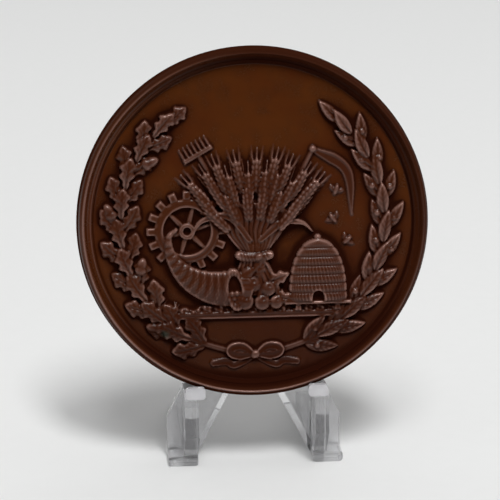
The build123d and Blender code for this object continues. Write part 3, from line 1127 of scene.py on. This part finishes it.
quiet = soften((struck > LEAST_RELIEF).astype(float), CLEAR_OF_RELIEF) < 0.01
bare = read(quiet.astype(float), disc_x, disc_y) * (disc_reach < FIELD - CLEAR_OF_RIM)
free = np.nonzero(bare.ravel() > 0.99)[0]
group = medal.vertex_groups.new(name="bare_field")
group.add(free.tolist(), 1.0, "REPLACE")
triangles = count_triangles(faces)
thin = medal.modifiers.new("thin", "DECIMATE")
thin.ratio = 1 - 2 * SHARE_THINNED * free.size / triangles
thin.vertex_group = group.name
bpy.context.view_layer.update()
thinned = bpy.data.meshes.new_from_object(medal.evaluated_get(bpy.context.evaluated_depsgraph_get()))
medal.modifiers.clear()
medal.vertex_groups.clear()
medal.data = thinned
thinned.name = "medal_struck"
thinned.shade_smooth()
left_over = count_triangles([polygon.vertices for polygon in thinned.polygons])
print("from", triangles, "to", left_over, "triangles")

# %% [markdown]
# ## Marks for the patina, and for painted light and shade
# Four values are painted on the mesh. One holds dark dirt and patina in the hollows
# together with painted shade. One holds metal rubbed lighter together with painted
# highlights. One is the skin of the motifs, and one is the outer rim, where the dirt
# is a little paler. On the rim they follow the profile, and they change round it:
# dirt and painted shade darken it most at the bottom, top and right, and a painted
# highlight lies on the ridge at the left and bottom.

# %% Mark the rim
QUARTERS = np.radians([-180, -90, 0, 90, 180])
BACK_HOLLOW = 0.2

where = np.empty(len(thinned.vertices) * 3)
thinned.vertices.foreach_get("co", where)
x, y, out = from_row(where.reshape(-1, 3)).T
reach = np.hypot(x, y)
spin = np.arctan2(y, x)


def near_ring(radius, width):
    """1 on a ring of the rim, fading over its width."""
    return stripe(reach - radius, width)


def by_side(left, bottom, right, top):
    """A value that turns with the rim, from its values at the four quarters."""
    return np.interp(spin, QUARTERS, [left, bottom, right, top, left])


# Dirt in the cove, and painted shade: the rim is painted dark and dull most at the bottom, top and right,
# which also hides its sheen there.
rim_dirt_and_shade = np.maximum.reduce([
    by_side(left=0.0, bottom=0.4, right=0.6, top=0.8),
    by_side(left=0.5, bottom=1.2, right=0.85, top=0.7) * near_ring(FIELD + 0.25, 0.45),
    by_side(left=0.0, bottom=1.6, right=0.3, top=0.3) * near_ring(FIELD + 1.0, 1.2),
    by_side(left=0.3, bottom=1.2, right=0.3, top=0.3) * near_ring(RIDGE - 0.7, 0.4),
    by_side(left=0.3, bottom=1.0, right=0.5, top=0.9) * rising(reach - RIDGE - 0.12, 0.25),
    rising(reach - RADIUS + 0.55, 0.25),
])
# Painted highlight: the ridge and the small step are painted lighter and glossy at the left and bottom,
# where the light catches them.
ridge_painted_highlight = by_side(left=1.0, bottom=1.0, right=0.1, top=0.0) * near_ring(RIDGE, 0.2)
step_painted_highlight = by_side(left=0.35, bottom=0.2, right=0.0, top=0.0) * near_ring(FIELD + 0.75, 0.15)
rim_dirt_and_shade = np.clip(rim_dirt_and_shade, 0, 1) * (1 - ridge_painted_highlight)
off_field = rising(reach - FIELD + 0.6, 0.5)
rim_dirt_and_shade = BACK_HOLLOW + (rim_dirt_and_shade - BACK_HOLLOW) * off_field
rim_painted_highlight = np.maximum(ridge_painted_highlight, step_painted_highlight) * off_field
print("rim marked, hollow up to", round(rim_dirt_and_shade.max(), 2))

# %% [markdown]
# On the face the marks come from the die. The rubbed crests are painted lighter
# towards the right, as a painted highlight from that side. Painted shade darkens the
# foot of the field and a band along the rim, most of all at the bottom, but rubbed
# points stay clear of it.

# %% Mark the face
SHEEN_MORE_AT_RIGHT = 0.35
LOW_FIELD_SHADE = 0.52
LOW_FIELD_START, LOW_FIELD_SPAN = 10, 14        # below the middle
RUBBED_CLEAR = 0.8

on_face = (reach < FIELD - 0.02) & (out > 0)
# Rubbed crests, painted lighter towards the right as a painted highlight from that side.
crest_wear_and_sheen = np.clip(read(wear_and_sheen_map, x, y) * (1 + SHEEN_MORE_AT_RIGHT * x / FIELD), 0, 1)
to_rim = np.maximum(FIELD - reach, 0)
along_rim = stripe(to_rim, by_side(left=0.9, bottom=2.6, right=0.9, top=0.9))
along_rim = along_rim * by_side(left=0.2, bottom=1.0, right=0.3, top=0.0)
# Painted shade: the field is darker towards its foot and in a band along the rim, widest at the bottom.
low_field = LOW_FIELD_SHADE * rising(-y - LOW_FIELD_START, LOW_FIELD_SPAN)
painted_shade = np.maximum(low_field, along_rim) * (1 - RUBBED_CLEAR * crest_wear_and_sheen)
marks = {
    "dirt_and_shade": np.where(on_face, np.maximum(read(hollow_map, x, y), painted_shade), rim_dirt_and_shade),
    "wear_and_sheen": np.where(on_face, crest_wear_and_sheen, rim_painted_highlight),
    "raised": np.where(on_face, read(raised_map, x, y), 0.1),
    "matte": rising(reach - FIELD - 1.4, 0.4),
}
for name, values in marks.items():
    layer = thinned.attributes.new(name, "FLOAT", "POINT")
    layer.data.foreach_set("value", np.clip(values, 0, 1).astype(np.float32))
print("marked", list(marks), "at", len(reach), "points")

# %% [markdown]
# ## The bronze finish
# Old bronze is chocolate brown: a thin dark skin that grows in air and is deepened by
# handling. It is a little redder where it thinned and greener where it met damp. The
# metal shows through only on the highest points, so the skin is mostly not metallic,
# and a soft wax polish gives it a satin sheen. The rubbed points are painted lighter,
# which is partly a painted highlight. Dirt in the hollows and the painted shade are a
# second shader, dull and without a sheen, because a darker colour alone would still shine.

# %% Mix the patina
SPOT = (-19.5, -23.7)       # one green spot, right and up from the middle
SPOT_START, SPOT_END = 0.9 * MM, 2.1 * MM


def green_spot(finish):
    """1 inside a small ragged spot where damp has turned the skin green."""
    centre = to_row((*SPOT, FRONT_FIELD + 0.8))
    inputs = {0: finish.place(), 1: tuple(centre)}
    apart = finish.make("ShaderNodeVectorMath", {"operation": "DISTANCE"}, inputs).out("Value")
    ragged = apart + finish.noise(900.0, 2.0) * (1.1 * MM)
    return 1 - ragged.between(SPOT_START, SPOT_END)


def bronze():
    finish = new_finish("brown_bronze")
    clouds = finish.noise(70.0, 4.0, 0.4).between(0.35, 0.68)
    blotch = finish.noise(320.0, 3.0).between(0.42, 0.72)
    dirt_and_shade = finish.mark("dirt_and_shade")
    wear_and_sheen = finish.mark("wear_and_sheen")
    raised = finish.mark("raised")
    skin = finish.blend(clouds, (0.075, 0.016, 0.0028), (0.09, 0.0226, 0.0036))
    skin = finish.blend(blotch * 0.5, skin, (0.057, 0.0164, 0.0036))
    skin = finish.blend(raised * 0.6, skin, (0.046, 0.0098, 0.0035))
    # Rubbed metal in a light pink, which is also a painted highlight on the crests and on the rim's ridge.
    skin = finish.blend(wear_and_sheen * 0.95, skin, (0.27, 0.14, 0.11))
    skin = finish.blend(green_spot(finish) * 0.8, skin, (0.012, 0.07, 0.05))
    pores = finish.noise(1500.0, 3.0) * 0.6 + finish.noise(5200.0, 1.0) * 0.4
    fine_bump = finish.bump(pores, 0.03 * MM, 0.5)
    waxed = finish.shader(
        Base_Color=skin,
        Roughness=0.2 + finish.noise(2600.0, 2.0) * 0.08 + raised * 0.06 + blotch * 0.04,
        Metallic=wear_and_sheen * 0.2,
        Normal=fine_bump,
        IOR=1.45,
        Specular_IOR_Level=0.33,
        Coat_Weight=0.03 + wear_and_sheen * 0.2,
        Coat_Roughness=0.2,
    )
    dull = finish.shader(
        Base_Color=finish.blend(finish.mark("matte"), (0.023, 0.0051, 0.0023), (0.036, 0.0095, 0.0042)),
        Roughness=0.6,
        Normal=fine_bump,
        Specular_IOR_Level=0.0,
    )
    # The dull dark shader covers the dirt in the hollows and the painted shade.
    return finish.close(finish.cover(dirt_and_shade.between(0.02, 0.9), waxed, dull))


medal.data.materials.append(bronze())
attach(medal, "root")
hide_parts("medal")

# %% [markdown]
# ## The clear stand
# The stand is one clear moulding, and the construction model already has its shape.
# Polished plastic shows itself by its edges, so the node keeps its mesh and gets a
# small rounded bevel. Light goes through it and bends. A thin haze of scuffs lies
# over it, and on the two lips more pale haze is painted as light, so they read whitest of all.

# %% Finish the stand
LEDGE_HEIGHT = 16.3 * MM
LIP_BACK = -15.5 * MM
LIP_FADE = 0.5 * MM
EDGE_ROUND = 0.3 * MM


def lips_painted_light(finish):
    """1 on the lips in front of the ledges, and 0 elsewhere."""
    place = finish.make("ShaderNodeSeparateXYZ", {}, {0: finish.place()})
    over_ledge = place.out("Z").between(LEDGE_HEIGHT, LEDGE_HEIGHT + LIP_FADE)
    behind = place.out("Y").between(LIP_BACK - 2 * LIP_FADE, LIP_BACK)
    return over_ledge * (1 - behind)


def clear_plastic():
    finish = new_finish("polished_clear")
    flow_lines = finish.noise(120.0, 2.0, 1.5)
    scuffs = finish.noise(900.0, 4.0).between(0.55, 0.8)
    waves = finish.bump(flow_lines, 0.2 * MM, 0.25)
    clear = finish.shader(
        Base_Color=finish.blend(flow_lines, (0.955, 0.965, 0.975), (0.985, 0.985, 0.985)),
        Roughness=0.03 + scuffs * 0.08,
        Metallic=0.0,
        IOR=1.49,
        Transmission_Weight=1.0,
        Normal=waves,
    )
    haze_and_lip_light = finish.shader(Base_Color=(0.8, 0.79, 0.82), Roughness=0.3, IOR=1.49, Normal=waves)
    # The haze is scuffs, and on the lips more of it is painted light, so they read whitest.
    return finish.close(finish.cover(0.2 + scuffs * 0.1 + lips_painted_light(finish) * 0.35, clear, haze_and_lip_light))


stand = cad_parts["stand"]
stand.data.materials.clear()
stand.data.materials.append(clear_plastic())
merge = stand.modifiers.new("planes", "DECIMATE")
merge.decimate_type = "DISSOLVE"
merge.angle_limit = math.radians(1.0)
soft_edge = stand.modifiers.new("soft_edge", "BEVEL")
soft_edge.width = EDGE_ROUND
soft_edge.segments = 3
soft_edge.limit_method = "ANGLE"
soft_edge.angle_limit = math.radians(40)
soft_edge.harden_normals = True
print("stand has", len(stand.data.polygons), "faces before its bevel")

# %% [markdown]
# ## The floor
# The photograph has one plain white surface. Here it is a floor that ends a little
# way in front of the medal, because a bright floor further out would mirror in the
# face and turn the brown grey.

# %% Lay the floor
FLOOR_SIZE = 8.0
FLOOR_IN_FRONT = 0.3


def pale_floor():
    finish = new_finish("pale_floor")
    fibre = finish.noise(260.0, 3.0)
    return finish.close(finish.shader(
        Base_Color=finish.blend(fibre, (0.81, 0.815, 0.81), (0.83, 0.835, 0.83)),
        Roughness=0.7 + fibre * 0.1,
        Normal=finish.bump(fibre, 0.2 * MM, 0.2),
    ))


bpy.ops.mesh.primitive_plane_add(size=FLOOR_SIZE, location=(0, FLOOR_SIZE / 2 - FLOOR_IN_FRONT, 0))
floor = bpy.context.object
floor.name = "floor"
floor.data.materials.append(pale_floor())
print("floor of", FLOOR_SIZE, "m, with its front edge", FLOOR_IN_FRONT, "m before the medal")

# %% [markdown]
# ## The light
# Two soft shadows lie behind the medal, one to the left and one nearly central, so
# two tall soft panels hang high in front of it. A weak one at the rear right lightens
# the edge, and the surround is bright above and behind but dim in front, where the
# face looks, which keeps the bronze brown.

# %% Hang the lights
PANEL_RISE = math.radians(60)
UP_OVER_BACK = 1.2                          # how much more looking up counts than looking back
ROOM_DIM, ROOM_BRIGHT = -0.4, 0.9           # where the surround is at its dimmest and brightest


def panel(name, azimuth_deg, distance, wide, high, watts):
    """A soft light that hangs high and looks at the medal."""
    light = bpy.data.lights.new(name, "AREA")
    light.shape = "ELLIPSE"
    light.size = wide
    light.size_y = high
    light.energy = watts
    towards = direction(math.radians(azimuth_deg), PANEL_RISE)
    hang(bpy.data.objects.new(name, light), MIDDLE, towards, distance)


def room(front, back):
    """The surround, with its strength in front and above and behind."""
    sky = Finish(bpy.data.worlds.new("room"))
    bpy.context.scene.world = sky.owner
    facing = sky.make("ShaderNodeTexCoord").out("Generated")
    parts = sky.make("ShaderNodeSeparateXYZ", {}, {0: facing})
    bright = (parts.out("Y") + parts.out("Z") * UP_OVER_BACK).between(ROOM_DIM, ROOM_BRIGHT)
    inputs = {"Color": (1, 1, 1), "Strength": bright * (back - front) + front}
    glow = sky.make("ShaderNodeBackground", {}, inputs).out(0)
    sky.close(glow, "ShaderNodeOutputWorld")


panel("window", azimuth_deg=15, distance=3.6, wide=0.66, high=1.5, watts=70.5)
panel("lamp", azimuth_deg=-9, distance=3.6, wide=0.66, high=1.5, watts=25.0)
panel("far_right", azimuth_deg=120, distance=3.0, wide=2.5, high=2.5, watts=9.0)
room(front=0.02, back=0.42)
bpy.context.scene.view_settings.view_transform = "Standard"
print("lights", [light.name for light in bpy.data.lights])
